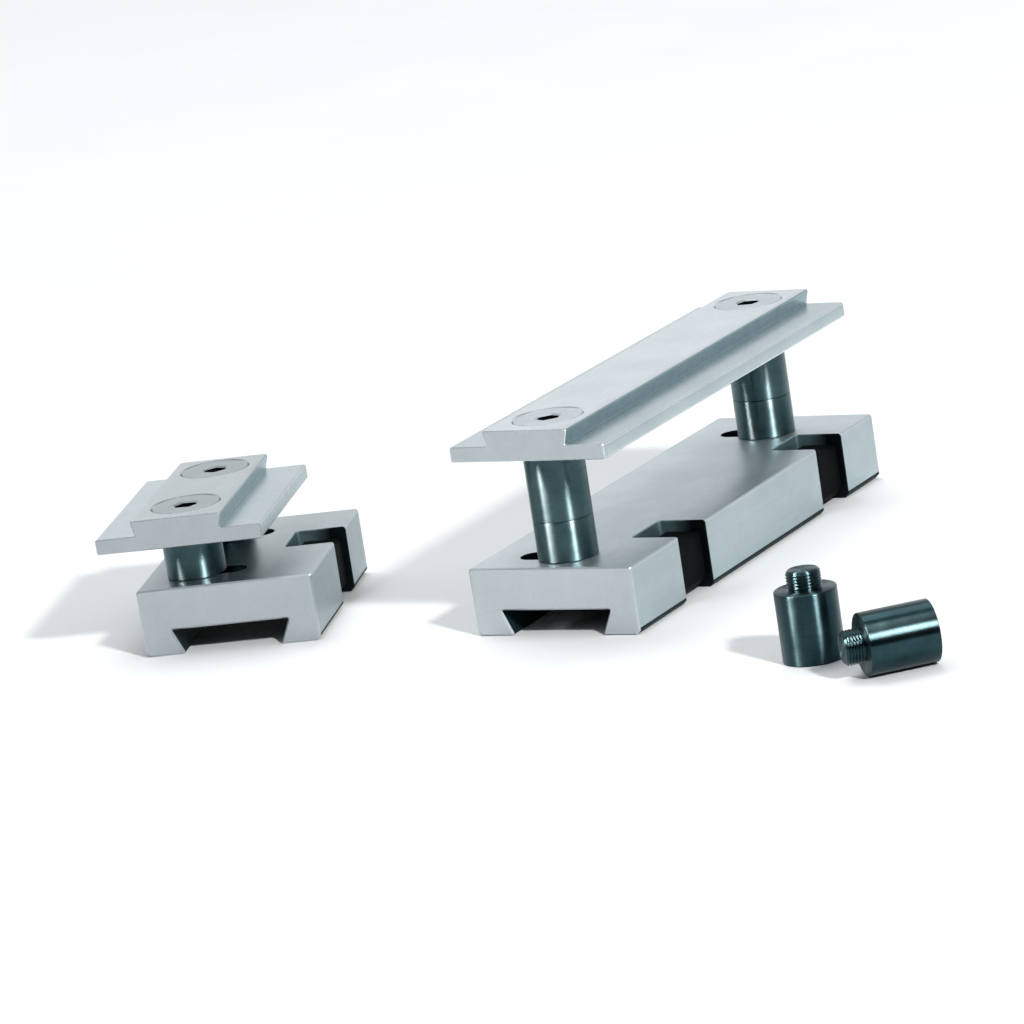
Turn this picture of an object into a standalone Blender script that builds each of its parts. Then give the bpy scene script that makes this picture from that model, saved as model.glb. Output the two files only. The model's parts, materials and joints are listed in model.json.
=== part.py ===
"""Set of two dovetail rail risers with two spare extension posts, in metres, +Z up.

Each riser is a clamping base, turned steel posts and an 11 mm dovetail rail on top.
The rail, its posts and their screws shift sideways together along transverse slots
in the base.  Jaws in side pockets are drawn against the lower rail by cross screws.
"""
import bpy
import bmesh
import math

MM = 0.001

# ---- base section (mm) ----
BASE_WIDTH = 21.0
BASE_HEIGHT = 8.0
BASE_CHAMFER = 0.5
GROOVE_TOP_WIDTH = 14.0
GROOVE_LIP_WIDTH = 11.4
GROOVE_DEPTH = 3.0
EDGE_BREAK = 0.2

# ---- jaw pockets in the right flank ----
POCKET_LENGTH = 7.0
POCKET_DEPTH = 6.0
JAW_SIDE_GAP = 0.12
JAW_INNER_X = 5.2
JAW_OUTER_X = 9.8
JAW_TOP_Z = 6.7
JAW_BOTTOM_Z = 0.4
JAW_CHAMFER = 0.9

# ---- M2.5 cross screws that draw the jaws ----
CLAMP_Z = 4.9
CLAMP_SHANK_R = 1.2
CLAMP_HOLE_R = 1.32
JAW_BORE_R = 1.3
JAW_BORE_END_X = 9.2
CLAMP_HEAD_R = 2.2
CLAMP_HEAD_HEIGHT = 2.5
CLAMP_SINK_R = 2.4
CLAMP_SINK_DEPTH = 2.9
CLAMP_TIP_X = 8.4

# ---- transverse slots and the screws beneath the posts ----
SLOT_TRAVEL = 4.5
SLOT_HALF = 1.6
HEAD_POCKET_HALF = 2.9
HEAD_POCKET_TOP_Z = 5.08
FOOT_SCREW_HEAD_R = 2.7
FOOT_SCREW_R = 1.42
FOOT_SCREW_BOTTOM_Z = 3.1
FOOT_SCREW_SHOULDER_Z = 5.0
FOOT_SCREW_TIP_Z = 9.7

# ---- posts ----
POST_R = 3.5
SEAT_GAP = 0.08
FOOT_POST_TOP_Z = 12.72
FOOT_BORE_R = 1.5
STUD_R = 1.95
STUD_BORE_R = 2.03
STUD_LENGTH = 2.2
EXTENSION_BODY = 7.92
POST_BORE_DEPTH = 5.2
POST_EDGE = 0.25

# ---- rail section ----
FLANGE_WIDTH = 19.8
FLANGE_THICKNESS = 1.8
RAISED_TOP_WIDTH = 11.0
RAISED_ROOT_WIDTH = 10.0
RAISED_HEIGHT = 1.8
RAIL_SINK_R = 4.1
RAIL_HOLE_R = 2.15
RAIL_SCREW_HEAD_R = 4.0
RAIL_SCREW_R = 1.95

# ---- long riser ----
LONG_BASE_LENGTH = 65.3
LONG_RAIL_START = -1.0
LONG_RAIL_LENGTH = 64.0
LONG_POCKETS = (12.0, 49.2)
LONG_CLAMP_Y = (15.5, 52.2)
LONG_POST_Y = (5.0, 57.5)
LONG_RAIL_Z = 20.8
LONG_RAIL_SCREW_LENGTH = 8.0

# ---- short riser ----
SHORT_BASE_LENGTH = 29.5
SHORT_RAIL_START = 0.0
SHORT_RAIL_LENGTH = 27.4
SHORT_POCKET = 14.06
SHORT_CLAMP_Y = 17.56
SHORT_POST_Y = (6.1, 22.4)
SHORT_RAIL_Z = 12.8
SHORT_RAIL_SCREW_LENGTH = 6.0
SHORT_RAIL_OFFSET = -4.4
SHORT_PLACE = (-40.7, -4.4)
SHORT_TURN = 18.7

# ---- loose posts ----
STANDING_PLACE = (36.56, -9.05)
LYING_PLACE = (48.8, -13.1)
LYING_TURN = 42.0

SEG = 32


def clear_scene():
    for ob in list(bpy.data.objects):
        bpy.data.objects.remove(ob, do_unlink=True)
    for me in list(bpy.data.meshes):
        bpy.data.meshes.remove(me)


def material(name, colour, metallic, roughness):
    mat = bpy.data.materials.new(name)
    mat.use_nodes = True
    shader = mat.node_tree.nodes["Principled BSDF"]
    shader.inputs["Base Color"].default_value = (*colour, 1.0)
    shader.inputs["Metallic"].default_value = metallic
    shader.inputs["Roughness"].default_value = roughness
    mat.diffuse_color = (*colour, 1.0)
    return mat


def finish(bm, name, colour, metallic, roughness):
    bmesh.ops.recalc_face_normals(bm, faces=bm.faces)
    me = bpy.data.meshes.new(name)
    bm.to_mesh(me)
    bm.free()
    me.shade_smooth()
    me.set_sharp_from_angle(angle=math.radians(30))
    ob = bpy.data.objects.new(name, me)
    bpy.context.collection.objects.link(ob)
    me.materials.append(material(name, colour, metallic, roughness))
    return ob


def prism_bm(outline, y0, y1):
    """Closed outline in X and Z, pushed along Y from y0 to y1 (mm)."""
    bm = bmesh.new()
    verts = [bm.verts.new((x * MM, y0 * MM, z * MM)) for x, z in outline]
    face = bm.faces.new(verts)
    moved = bmesh.ops.extrude_face_region(bm, geom=[face])["geom"]
    top = [v for v in moved if isinstance(v, bmesh.types.BMVert)]
    bmesh.ops.translate(bm, verts=top, vec=(0, (y1 - y0) * MM, 0))
    return bm


def turned_bm(profile, segments=SEG):
    """Profile of (radius, height) pairs turned about Z; radius 0 closes on the axis."""
    bm = bmesh.new()
    rings = []
    for r, z in profile:
        if r == 0:
            rings.append([bm.verts.new((0, 0, z * MM))])
        else:
            rings.append([
                bm.verts.new((r * MM * math.cos(2 * math.pi * i / segments),
                              r * MM * math.sin(2 * math.pi * i / segments), z * MM))
                for i in range(segments)])
    for a, b in zip(rings, rings[1:]):
        for i in range(segments):
            j = (i + 1) % segments
            if len(a) == 1:
                bm.faces.new((a[0], b[i], b[j]))
            elif len(b) == 1:
                bm.faces.new((a[i], a[j], b[0]))
            else:
                bm.faces.new((a[i], a[j], b[j], b[i]))
    return bm


def slot_bm(x0, x1, half, z0, z1, steps=8):
    """Round-ended slot from x0 to x1 (end centres), as an upright prism."""
    bm = bmesh.new()
    ring = []
    for cx, start in ((x1, -90), (x0, 90)):
        for i in range(steps + 1):
            a = math.radians(start + 180 * i / steps)
            ring.append(bm.verts.new(((cx + half * math.cos(a)) * MM,
                                      half * math.sin(a) * MM, z0 * MM)))
    face = bm.faces.new(ring)
    moved = bmesh.ops.extrude_face_region(bm, geom=[face])["geom"]
    top = [v for v in moved if isinstance(v, bmesh.types.BMVert)]
    bmesh.ops.translate(bm, verts=top, vec=(0, 0, (z1 - z0) * MM))
    return bm


def hexagon_bm(flats, z0, z1):
    r = flats / 2 / math.cos(math.pi / 6)
    return turned_bm([(0, z0), (r, z0), (r, z1), (0, z1)], segments=6)


def guide(bm, name, parent=None, location=(0, 0, 0), rotation=(0, 0, 0)):
    """A cutter: hidden from the finished object."""
    ob = finish(bm, name, (0.5, 0.5, 0.5), 0.0, 0.5)
    ob.hide_render = True
    ob.display_type = "WIRE"
    place(ob, parent, location, rotation)
    return ob


def place(ob, parent=None, location=(0, 0, 0), rotation=(0, 0, 0)):
    ob.parent = parent
    ob.location = [c * MM for c in location]
    ob.rotation_euler = [math.radians(a) for a in rotation]
    return ob


def empty(name, parent=None, location=(0, 0, 0), rotation=(0, 0, 0)):
    ob = bpy.data.objects.new(name, None)
    ob.empty_display_size = 0.005
    bpy.context.collection.objects.link(ob)
    return place(ob, parent, location, rotation)


def cut(target, cutter):
    mod = target.modifiers.new("cut_" + cutter.name, "BOOLEAN")
    mod.operation = "DIFFERENCE"
    mod.solver = "EXACT"
    mod.object = cutter


ALUMINIUM = ((0.78, 0.81, 0.83), 1.0, 0.42)
POST_STEEL = ((0.20, 0.24, 0.25), 1.0, 0.22)
BLACK_STEEL = ((0.03, 0.035, 0.04), 0.9, 0.45)
SCREW_STEEL = ((0.62, 0.65, 0.67), 1.0, 0.35)


def base_outline():
    w, c = BASE_WIDTH / 2, BASE_CHAMFER
    lip, top, e = GROOVE_LIP_WIDTH / 2, GROOVE_TOP_WIDTH / 2, EDGE_BREAK
    return [(-w + c, 0), (-lip, 0), (-top, GROOVE_DEPTH), (top, GROOVE_DEPTH), (lip, 0),
            (w - c, 0), (w, c), (w, BASE_HEIGHT - e), (w - e, BASE_HEIGHT),
            (-w + e, BASE_HEIGHT), (-w, BASE_HEIGHT - e), (-w, c)]


def make_base(prefix, parent, length, pockets, clamp_ys, post_ys):
    base = finish(prism_bm(base_outline(), 0, length), prefix + "_base", *ALUMINIUM)
    place(base, parent)
    reach = BASE_WIDTH / 2
    for n, y0 in enumerate(pockets):
        box = [(reach - POCKET_DEPTH, -1), (reach + 2, -1),
               (reach + 2, BASE_HEIGHT + 2), (reach - POCKET_DEPTH, BASE_HEIGHT + 2)]
        cut(base, guide(prism_bm(box, y0, y0 + POCKET_LENGTH),
                        f"{prefix}_pocket_cutter_{n}", parent))
    for n, y in enumerate(clamp_ys):
        stepped = [(0, -reach - 1), (CLAMP_SINK_R, -reach - 1),
                   (CLAMP_SINK_R, -reach + CLAMP_SINK_DEPTH),
                   (CLAMP_HOLE_R, -reach + CLAMP_SINK_DEPTH),
                   (CLAMP_HOLE_R, reach - POCKET_DEPTH + 0.5), (0, reach - POCKET_DEPTH + 0.5)]
        cut(base, guide(turned_bm(stepped, 24), f"{prefix}_clamp_cutter_{n}", parent,
                        (0, y, CLAMP_Z), (0, 90, 0)))
    for n, y in enumerate(post_ys):
        cut(base, guide(slot_bm(-SLOT_TRAVEL, 0, HEAD_POCKET_HALF, GROOVE_DEPTH - 0.05,
                                HEAD_POCKET_TOP_Z),
                        f"{prefix}_head_pocket_cutter_{n}", parent, (0, y, 0)))
        cut(base, guide(slot_bm(-SLOT_TRAVEL, 0, SLOT_HALF, HEAD_POCKET_TOP_Z - 0.5,
                                BASE_HEIGHT + 1),
                        f"{prefix}_slot_cutter_{n}", parent, (0, y, 0)))
    return base


def make_jaw(name, parent, pocket_y, clamp_y):
    """Jaw with its origin on the cross screw's axis."""
    c = JAW_CHAMFER
    outline = [(JAW_OUTER_X - c, JAW_BOTTOM_Z), (JAW_OUTER_X, JAW_BOTTOM_Z + c),
               (JAW_OUTER_X, JAW_TOP_Z - 0.2), (JAW_OUTER_X - 0.2, JAW_TOP_Z),
               (JAW_INNER_X, JAW_TOP_Z), (JAW_INNER_X, 2.9), (6.0, 2.6),
               (5.1, JAW_BOTTOM_Z)]
    outline = [(x, z - CLAMP_Z) for x, z in outline]
    low = pocket_y + JAW_SIDE_GAP - clamp_y
    jaw = finish(prism_bm(outline, low, low + POCKET_LENGTH - 2 * JAW_SIDE_GAP),
                 name, *BLACK_STEEL)
    place(jaw, parent, (0, clamp_y, CLAMP_Z))
    bore = [(0, 4), (JAW_BORE_R, 4), (JAW_BORE_R, JAW_BORE_END_X), (0, JAW_BORE_END_X)]
    cut(jaw, guide(turned_bm(bore, 24), name + "_bore_cutter", parent,
                   (0, clamp_y, CLAMP_Z), (0, 90, 0)))
    return jaw


def make_clamp_screw(name, parent, clamp_y):
    """Cap screw along X, head on the left flank, origin on its axis."""
    seat = -BASE_WIDTH / 2 + CLAMP_SINK_DEPTH - 0.1
    head = seat - CLAMP_HEAD_HEIGHT
    profile = [(0, head), (CLAMP_HEAD_R - 0.2, head), (CLAMP_HEAD_R, head + 0.2),
               (CLAMP_HEAD_R, seat), (CLAMP_SHANK_R, seat),
               (CLAMP_SHANK_R, CLAMP_TIP_X - 0.3), (CLAMP_SHANK_R - 0.3, CLAMP_TIP_X),
               (0, CLAMP_TIP_X)]
    screw = finish(turned_bm(profile, 24), name, *BLACK_STEEL)
    place(screw, parent, (0, clamp_y, CLAMP_Z), (0, 90, 0))
    cut(screw, guide(hexagon_bm(2.0, head - 1, head + 1.2), name + "_hex_cutter", parent,
                     (0, clamp_y, CLAMP_Z), (0, 90, 0)))
    return screw


def make_foot_screw(name, parent, y):
    """Low head screw that comes up through the slot into the post."""
    z0, z1, z2 = FOOT_SCREW_BOTTOM_Z, FOOT_SCREW_SHOULDER_Z, FOOT_SCREW_TIP_Z
    profile = [(0, z0), (FOOT_SCREW_HEAD_R - 0.2, z0), (FOOT_SCREW_HEAD_R, z0 + 0.2),
               (FOOT_SCREW_HEAD_R, z1), (FOOT_SCREW_R, z1), (FOOT_SCREW_R, z2 - 0.3),
               (FOOT_SCREW_R - 0.3, z2), (0, z2)]
    screw = finish(turned_bm(profile, 24), name, *BLACK_STEEL)
    place(screw, parent, (0, y, 0))
    cut(screw, guide(hexagon_bm(2.0, z0 - 1, z0 + 1.1), name + "_hex_cutter", parent,
                     (0, y, 0)))
    return screw


def make_foot_post(name, parent, y):
    """Plain post on the base: stepped through bore, small screw below, M4 above."""
    z0, z1, e = BASE_HEIGHT + SEAT_GAP, FOOT_POST_TOP_Z, POST_EDGE
    step = FOOT_SCREW_TIP_Z + 0.12
    profile = [(FOOT_BORE_R, z0), (POST_R - e, z0), (POST_R, z0 + e), (POST_R, z1 - e),
               (POST_R - e, z1), (STUD_BORE_R, z1), (STUD_BORE_R, step),
               (FOOT_BORE_R, step), (FOOT_BORE_R, z0)]
    bm = turned_bm(profile)
    bmesh.ops.remove_doubles(bm, verts=bm.verts, dist=1e-7)
    return place(finish(bm, name, *POST_STEEL), parent, (0, y, 0))


def extension_bm():
    """Extension post, stud end at negative height, body from 0 up, blind bore on top."""
    h, e = EXTENSION_BODY, POST_EDGE
    profile = [(0, -STUD_LENGTH), (STUD_R - 0.4, -STUD_LENGTH),
               (STUD_R, -STUD_LENGTH + 0.4), (STUD_R, 0), (POST_R - e, 0), (POST_R, e),
               (POST_R, h - e), (POST_R - e, h), (STUD_BORE_R, h),
               (STUD_BORE_R, h - POST_BORE_DEPTH), (0, h - POST_BORE_DEPTH - 0.6)]
    return turned_bm(profile)


def make_rail(name, parent, start, length, z, post_ys):
    f, rt, rb = FLANGE_WIDTH / 2, RAISED_TOP_WIDTH / 2, RAISED_ROOT_WIDTH / 2
    t, top, e = FLANGE_THICKNESS, FLANGE_THICKNESS + RAISED_HEIGHT, EDGE_BREAK
    outline = [(-f, 0), (f, 0), (f, t), (rb, t), (rt, top - e), (rt - e, top),
               (-rt + e, top), (-rt, top - e), (-rb, t), (-f, t)]
    outline = [(x, h + z) for x, h in outline]
    rail = finish(prism_bm(outline, start, start + length), name, *ALUMINIUM)
    place(rail, parent)
    ztop = z + top
    for n, y in enumerate(post_ys):
        sink = [(0, z - 1), (RAIL_HOLE_R, z - 1),
                (RAIL_HOLE_R, ztop - 0.2 - (RAIL_SINK_R - RAIL_HOLE_R)),
                (RAIL_SINK_R, ztop - 0.2), (RAIL_SINK_R, ztop + 1), (0, ztop + 1)]
        cut(rail, guide(turned_bm(sink), f"{name}_hole_cutter_{n}", parent, (0, y, 0)))
    return rail


def make_rail_screw(name, parent, y, ztop, length):
    """Countersunk socket screw, head just under the rail's top face."""
    r, s, top = RAIL_SCREW_HEAD_R, RAIL_SCREW_R, ztop - 0.05
    cone = top - 0.2 - (r - s)
    tip = ztop - length
    profile = [(0, tip), (s - 0.4, tip), (s, tip + 0.4), (s, cone), (r, top - 0.2),
               (r, top), (0, top)]
    screw = finish(turned_bm(profile), name, *SCREW_STEEL)
    place(screw, parent, (0, y, 0))
    cut(screw, guide(hexagon_bm(2.5, top - 1.6, top + 1), name + "_hex_cutter", parent,
                     (0, y, 0)))
    return screw


def centre_on_origin(root):
    """Bring the middle of the set's plan outline to the origin."""
    bpy.context.view_layer.update()
    xs, ys = [], []
    for ob in bpy.data.objects:
        if ob.type == "MESH" and not ob.hide_render:
            for v in ob.data.vertices:
                p = ob.matrix_world @ v.co
                xs.append(p.x)
                ys.append(p.y)
    root.location = (-(min(xs) + max(xs)) / 2, -(min(ys) + max(ys)) / 2, 0)
    bpy.context.view_layer.update()


def build():
    clear_scene()
    root = empty("riser_set")

    # long riser
    riser = empty("long_riser", root)
    make_base("long", riser, LONG_BASE_LENGTH, LONG_POCKETS, LONG_CLAMP_Y, LONG_POST_Y)
    carriage = empty("long_carriage", riser)
    ztop = LONG_RAIL_Z + FLANGE_THICKNESS + RAISED_HEIGHT
    for n, where in enumerate(("front", "rear")):
        make_jaw(f"long_{where}_jaw", riser, LONG_POCKETS[n], LONG_CLAMP_Y[n])
        make_clamp_screw(f"long_{where}_clamp_screw", riser, LONG_CLAMP_Y[n])
        y = LONG_POST_Y[n]
        make_foot_screw(f"long_{where}_foot_screw", carriage, y)
        make_foot_post(f"long_{where}_foot_post", carriage, y)
        post = finish(extension_bm(), f"long_{where}_extension_post", *POST_STEEL)
        place(post, carriage, (0, y, FOOT_POST_TOP_Z + SEAT_GAP))
        make_rail_screw(f"long_{where}_rail_screw", carriage, y, ztop,
                        LONG_RAIL_SCREW_LENGTH)
    make_rail("long_rail", carriage, LONG_RAIL_START, LONG_RAIL_LENGTH, LONG_RAIL_Z,
              LONG_POST_Y)

    # short riser, turned and with its rail shifted to the left
    riser = empty("short_riser", root, (*SHORT_PLACE, 0), (0, 0, SHORT_TURN))
    make_base("short", riser, SHORT_BASE_LENGTH, (SHORT_POCKET,), (SHORT_CLAMP_Y,),
              SHORT_POST_Y)
    make_jaw("short_jaw", riser, SHORT_POCKET, SHORT_CLAMP_Y)
    make_clamp_screw("short_clamp_screw", riser, SHORT_CLAMP_Y)
    carriage = empty("short_carriage", riser, (SHORT_RAIL_OFFSET, 0, 0))
    ztop = SHORT_RAIL_Z + FLANGE_THICKNESS + RAISED_HEIGHT
    for n, where in enumerate(("front", "rear")):
        y = SHORT_POST_Y[n]
        make_foot_screw(f"short_{where}_foot_screw", carriage, y)
        make_foot_post(f"short_{where}_foot_post", carriage, y)
        make_rail_screw(f"short_{where}_rail_screw", carriage, y, ztop,
                        SHORT_RAIL_SCREW_LENGTH)
    make_rail("short_rail", carriage, SHORT_RAIL_START, SHORT_RAIL_LENGTH, SHORT_RAIL_Z,
              SHORT_POST_Y)

    # spare extension posts: one stands stud up, one lies on its side
    post = finish(extension_bm(), "standing_extension_post", *POST_STEEL)
    place(post, root, (*STANDING_PLACE, EXTENSION_BODY), (180, 0, 0))
    half = EXTENSION_BODY / 2
    turn = math.radians(LYING_TURN)
    post = finish(extension_bm(), "lying_extension_post", *POST_STEEL)
    place(post, root, (LYING_PLACE[0] - half * math.cos(turn),
                       LYING_PLACE[1] - half * math.sin(turn), POST_R),
          (0, 90, LYING_TURN))
    centre_on_origin(root)


build()
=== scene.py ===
import bpy
import bmesh
import json
import math
from mathutils import Euler, Matrix, Vector

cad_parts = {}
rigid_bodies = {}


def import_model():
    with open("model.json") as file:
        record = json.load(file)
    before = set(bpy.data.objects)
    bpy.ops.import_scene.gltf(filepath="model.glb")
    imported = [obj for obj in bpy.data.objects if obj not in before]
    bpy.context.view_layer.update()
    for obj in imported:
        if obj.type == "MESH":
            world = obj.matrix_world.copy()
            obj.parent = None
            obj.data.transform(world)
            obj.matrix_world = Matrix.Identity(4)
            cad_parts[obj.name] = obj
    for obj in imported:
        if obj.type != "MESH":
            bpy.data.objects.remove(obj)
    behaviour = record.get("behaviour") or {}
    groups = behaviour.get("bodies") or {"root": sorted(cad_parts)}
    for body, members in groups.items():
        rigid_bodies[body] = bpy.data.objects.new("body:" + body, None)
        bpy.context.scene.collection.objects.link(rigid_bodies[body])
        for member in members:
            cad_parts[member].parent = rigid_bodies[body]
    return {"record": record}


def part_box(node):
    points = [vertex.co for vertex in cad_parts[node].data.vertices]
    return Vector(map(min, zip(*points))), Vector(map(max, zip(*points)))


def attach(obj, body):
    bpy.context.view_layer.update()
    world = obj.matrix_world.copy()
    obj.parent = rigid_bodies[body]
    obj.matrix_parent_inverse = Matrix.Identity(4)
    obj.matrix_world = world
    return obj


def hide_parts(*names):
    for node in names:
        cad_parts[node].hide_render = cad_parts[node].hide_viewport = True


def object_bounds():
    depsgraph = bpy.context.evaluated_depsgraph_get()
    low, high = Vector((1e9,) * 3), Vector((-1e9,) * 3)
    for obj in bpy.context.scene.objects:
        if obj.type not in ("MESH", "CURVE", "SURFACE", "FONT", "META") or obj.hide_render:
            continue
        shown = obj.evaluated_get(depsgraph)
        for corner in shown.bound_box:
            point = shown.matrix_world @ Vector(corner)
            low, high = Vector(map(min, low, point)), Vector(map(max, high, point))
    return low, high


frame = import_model()
CAD_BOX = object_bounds()
JOINTS = {j["name"]: j for j in frame["record"]["behaviour"]["joints"]}

# Lengths are in mm in each part's own coordinates: X across the riser towards the jaws,
# Y along it from the near end, Z up from the surface that it stands on.
MM = 0.001
RAIL_TRAVEL = 4.4           # of a rail along the slots of its base
CLAMP_HEIGHT = 4.9          # of the clamp screws' axes
BASE_HALF_WIDTH = 10.5
BASE_HEIGHT = 8.0
BASE_EDGE = 0.2             # chamfer around the ends of a base
SLOT_END = -4.5             # centre of a slot's left end
SLOT_RADIUS = 1.6
COUNTERSLOT_RADIUS = 2.9    # the wider slot beneath, for the foot screws' heads
POCKET_LENGTH = 7.0
POCKET_INNER = 4.5          # a pocket's inner wall, from the middle of the base
POCKET_RIM = 0.1            # chamfer around a pocket
POST_RADIUS = 3.5
POST_EDGE = 0.12            # rounding of the posts' rims
FOOT_POST_TOP = 12.8
EXTENSION_HEIGHT = 7.95
RAIL_FLANGE = 1.8           # thickness of a rail's lower part
RAIL_HEIGHT = 3.6
RAIL_HALF_WIDTH = 9.9
RAIL_EDGE = 0.1             # chamfer around the ends of a rail
SMOOTH_ANGLE = math.radians(28)

LONG_LENGTH, LONG_RAIL_Y, LONG_RAIL_TOP = 65.3, (-1.0, 63.0), 24.4
LONG_POCKETS, LONG_CLAMPS, LONG_POSTS = (12.0, 49.2), (15.5, 52.2), (5.0, 57.5)
SHORT_LENGTH, SHORT_RAIL_Y, SHORT_RAIL_TOP = 29.5, (0.0, 27.4), 16.4
SHORT_POCKET, SHORT_CLAMP, SHORT_POSTS = 14.06, 17.56, (6.1, 22.4)
LYING_PLACE, LYING_TURN = (48.8, -13.1), math.radians(42.0)
LYING_MIDDLE = 3.96         # from the lying post's shoulder to the middle of its CAD body


# ------------------------------------------------------------------ placing
def lift(x, y, z):
    """Point in mm as a vector in metres."""
    return Vector((x * MM, y * MM, z * MM))


def at(base, x=0.0, y=0.0, z=0.0):
    """Placement moved by x, y and z mm along its own axes."""
    return base @ Matrix.Translation(lift(x, y, z))


# Lays the axis of a turned piece along X.
ABOUT_X = Matrix.Rotation(math.radians(90), 4, "Y")

lo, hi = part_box("long_base")
LONG = Matrix.Translation(((lo[0] + hi[0]) / 2, lo[1], lo[2]))

across = Vector(JOINTS["short_rail_shift"]["axis"]).normalized()
along = Vector((0, 0, 1)).cross(across)
TURN = Matrix((across, along, (0, 0, 1))).transposed()
origin = Vector(JOINTS["short_clamp_turn"]["pos_m"]) - TURN @ lift(0, SHORT_CLAMP, CLAMP_HEIGHT)
SHORT = Matrix.Translation(origin) @ TURN.to_4x4()
SHORT_RAIL = at(SHORT, -RAIL_TRAVEL)


# ---------------------------------------------------------------- materials
def new_material(name):
    mat = bpy.data.materials.new(name)
    mat.use_nodes = True
    tree = mat.node_tree
    return mat, tree, tree.nodes["Principled BSDF"]


def add(tree, kind, **props):
    node = tree.nodes.new(kind)
    for key, value in props.items():
        setattr(node, key, value)
    return node


def link(tree, a, b):
    tree.links.new(a, b)


def mapped(tree, scale=(1, 1, 1)):
    """Object coordinates in metres; a scale below 1 draws the pattern out along that axis."""
    coord = add(tree, "ShaderNodeTexCoord")
    mapping = add(tree, "ShaderNodeMapping")
    mapping.inputs["Scale"].default_value = scale
    link(tree, coord.outputs["Object"], mapping.inputs["Vector"])
    return mapping.outputs["Vector"]


def noise(tree, vector, scale, detail, rough):
    """Noise with scale cells per metre."""
    node = add(tree, "ShaderNodeTexNoise")
    node.inputs["Scale"].default_value = scale
    node.inputs["Detail"].default_value = detail
    node.inputs["Roughness"].default_value = rough
    link(tree, vector, node.inputs["Vector"])
    return node.outputs["Fac"]


def remap(tree, value, to_min, to_max, from_min=0.3, from_max=0.7):
    """Value from one range to another; noise mostly lies between 0.3 and 0.7."""
    node = add(tree, "ShaderNodeMapRange")
    node.inputs["From Min"].default_value = from_min
    node.inputs["From Max"].default_value = from_max
    node.inputs["To Min"].default_value = to_min
    node.inputs["To Max"].default_value = to_max
    link(tree, value, node.inputs["Value"])
    return node.outputs["Result"]


def ramp(tree, value, stops):
    """Colour between two stops (position, colour) of a 0..1 value."""
    node = add(tree, "ShaderNodeValToRGB")
    for element, (position, colour) in zip(node.color_ramp.elements, stops):
        element.position, element.color = position, (*colour, 1)
    link(tree, value, node.inputs["Fac"])
    return node.outputs["Color"]


def bump(tree, shader, heights):
    """Chain of bumps: (height socket, distance in metres, strength)."""
    last = None
    for height, distance, strength in heights:
        node = add(tree, "ShaderNodeBump")
        node.inputs["Distance"].default_value = distance
        node.inputs["Strength"].default_value = strength
        link(tree, height, node.inputs["Height"])
        if last is not None:
            link(tree, last, node.inputs["Normal"])
        last = node.outputs["Normal"]
    link(tree, last, shader.inputs["Normal"])


def tinted(tree, colour, tint):
    """One colour multiplied by another."""
    mix = add(tree, "ShaderNodeMixRGB", blend_type="MULTIPLY")
    mix.inputs["Fac"].default_value = 1.0
    link(tree, colour, mix.inputs["Color1"])
    link(tree, tint, mix.inputs["Color2"])
    return mix.outputs["Color"]


def blasted_aluminium(name, light, dark, rough_lo, rough_hi, relief):
    """Milled aluminium, bead blasted: fine grain over faint cutter lines along the length."""
    mat, tree, shader = new_material(name)
    plain = mapped(tree)
    lines = mapped(tree, (1.0, 0.03, 1.0))
    cloud = noise(tree, plain, 140, 4, 0.6)
    streak = noise(tree, lines, 2600, 3, 0.6)
    grain = noise(tree, plain, 7000, 2, 0.5)
    pits = noise(tree, plain, 2300, 3, 0.65)
    colour = ramp(tree, cloud, [(0.35, dark), (0.65, light)])
    marks = ramp(tree, streak, [(0.3, (0.94, 0.95, 0.96)), (0.7, (1, 1, 1))])
    link(tree, tinted(tree, colour, marks), shader.inputs["Base Color"])
    shader.inputs["Metallic"].default_value = 1.0
    link(tree, remap(tree, pits, rough_lo, rough_hi), shader.inputs["Roughness"])
    bump(tree, shader, [(streak, 0.00003, 0.35 * relief), (pits, 0.00004, 0.30 * relief),
                        (grain, 0.00002, 0.30 * relief)])
    return mat


# Near-black colour of the painted shade deep in the jaw pockets.
POCKET_SHADE_COLOUR = (0.012, 0.020, 0.023, 1)


def painted_shade_milled(name, light, dark, metallic, rough_lo, rough_hi, shade_span=None):
    """Machined faces with cutter marks along the length, coloured darker than the blasted faces
    as painted shade. The span (a, b) given after the colours darkens them further with painted
    shade from a to b mm across the part."""
    mat, tree, shader = new_material(name)
    plain = mapped(tree)
    lines = mapped(tree, (1.0, 0.05, 1.0))
    cloud = noise(tree, plain, 600, 4, 0.6)
    streak = noise(tree, lines, 5200, 3, 0.6)
    colour = ramp(tree, cloud, [(0.3, dark), (0.7, light)])
    if shade_span:
        split = add(tree, "ShaderNodeSeparateXYZ")
        link(tree, plain, split.inputs["Vector"])
        shade_fac = remap(tree, split.outputs["X"], 0, 1, shade_span[0] * MM, shade_span[1] * MM)
        mix = add(tree, "ShaderNodeMixRGB")
        link(tree, shade_fac, mix.inputs["Fac"])
        link(tree, colour, mix.inputs["Color1"])
        mix.inputs["Color2"].default_value = POCKET_SHADE_COLOUR
        colour = mix.outputs["Color"]
    link(tree, colour, shader.inputs["Base Color"])
    shader.inputs["Metallic"].default_value = metallic
    shader.inputs["Specular IOR Level"].default_value = 0.1
    link(tree, remap(tree, streak, rough_lo, rough_hi), shader.inputs["Roughness"])
    bump(tree, shader, [(streak, 0.00003, 0.4), (cloud, 0.00003, 0.2)])
    return mat


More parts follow.
